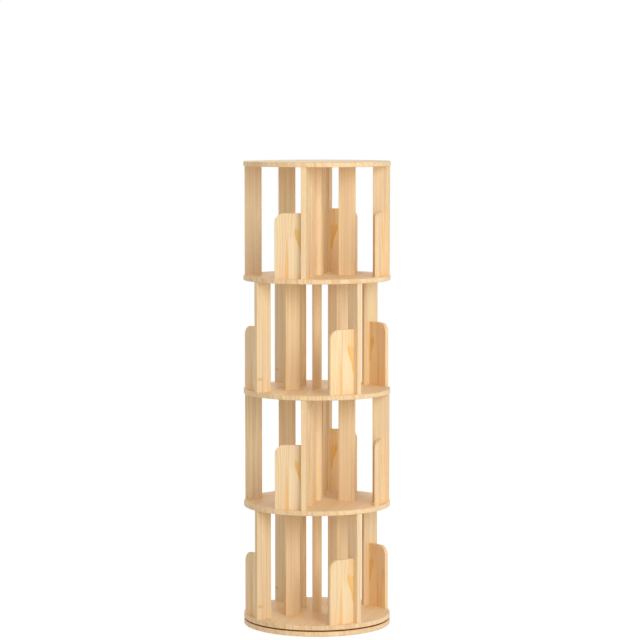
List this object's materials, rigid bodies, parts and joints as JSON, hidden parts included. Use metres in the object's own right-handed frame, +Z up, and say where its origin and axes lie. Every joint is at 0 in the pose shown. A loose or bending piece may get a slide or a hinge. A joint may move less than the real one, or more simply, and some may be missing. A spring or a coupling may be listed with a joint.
{
  "type": "revolving bookcase",
  "caption": "Floor-standing round pine bookcase: stacked disc shelves on slat arms with short bookends, turning as one on a ball bearing sunk into a fixed base disc.",
  "frame": {"origin": "on the floor under the centre of the base, at the underside of the foot pads", "axes": "+Z up along the turning axis; the first arm of a straight tier points to -Y, the picture's front"},
  "size_m": [0.46, 0.46, 1.456],
  "materials": {
    "base_board": "clear matt lacquer",
    "shelf_board": "clear matt lacquer",
    "slat_pine": "clear matt lacquer",
    "bookend_pine": "clear matt lacquer",
    "post_pine": "clear matt lacquer",
    "beech_dowel": "bare",
    "zinc_screw": "zinc plated",
    "bearing_ring": "turned",
    "ball_steel": "polished",
    "cage_nylon": "moulded",
    "pad_rubber": "matt"
  },
  "bodies": {
    "base": {"base_disc": "base_board", "foot_pads": "pad_rubber", "bearing_outer_ring": "bearing_ring", "bearing_base_screws": "zinc_screw"},
    "case": {"bearing_inner_ring": "bearing_ring", "bearing_shelf_screws": "zinc_screw", "post_studs": "zinc_screw", "post_end_screws": "zinc_screw", "slat_screws": "zinc_screw", "slat_dowels": "beech_dowel", "bookend_screws": "zinc_screw", "bookend_dowels": "beech_dowel", "shelf_1": "shelf_board", "shelf_2": "shelf_board", "shelf_3": "shelf_board", "shelf_4": "shelf_board", "top_disc": "shelf_board", "tier_1_post": "post_pine", "tier_2_post": "post_pine", "tier_3_post": "post_pine", "tier_4_post": "post_pine", "tier_1_inner_slats": "slat_pine", "tier_2_inner_slats": "slat_pine", "tier_3_inner_slats": "slat_pine", "tier_4_inner_slats": "slat_pine", "tier_1_outer_slat_1": "slat_pine", "tier_1_outer_slat_2": "slat_pine", "tier_1_outer_slat_3": "slat_pine", "tier_1_outer_slat_4": "slat_pine", "tier_2_outer_slat_1": "slat_pine", "tier_2_outer_slat_2": "slat_pine", "tier_2_outer_slat_3": "slat_pine", "tier_2_outer_slat_4": "slat_pine", "tier_3_outer_slat_1": "slat_pine", "tier_3_outer_slat_2": "slat_pine", "tier_3_outer_slat_3": "slat_pine", "tier_3_outer_slat_4": "slat_pine", "tier_4_outer_slat_1": "slat_pine", "tier_4_outer_slat_2": "slat_pine", "tier_4_outer_slat_3": "slat_pine", "tier_4_outer_slat_4": "slat_pine", "tier_1_bookend_1": "bookend_pine", "tier_1_bookend_2": "bookend_pine", "tier_1_bookend_3": "bookend_pine", "tier_1_bookend_4": "bookend_pine", "tier_2_bookend_1": "bookend_pine", "tier_2_bookend_2": "bookend_pine", "tier_2_bookend_3": "bookend_pine", "tier_2_bookend_4": "bookend_pine", "tier_3_bookend_1": "bookend_pine", "tier_3_bookend_2": "bookend_pine", "tier_3_bookend_3": "bookend_pine", "tier_3_bookend_4": "bookend_pine", "tier_4_bookend_1": "bookend_pine", "tier_4_bookend_2": "bookend_pine", "tier_4_bookend_3": "bookend_pine", "tier_4_bookend_4": "bookend_pine"},
    "ball_cage": {"bearing_cage": "cage_nylon", "bearing_balls": "ball_steel"}
  },
  "joints": [
    {"name": "case_spin", "type": "hinge", "parent": "base", "child": "case", "pos_m": [0, 0, 0.019], "axis": [0, 0, 1], "continuous": true},
    {"name": "cage_roll", "type": "hinge", "parent": "base", "child": "ball_cage", "pos_m": [0, 0, 0.019], "axis": [0, 0, 1], "continuous": true}
  ],
  "couplings": [
    {"joint": "cage_roll", "follows": "case_spin", "ratio": 0.49}
  ]
}
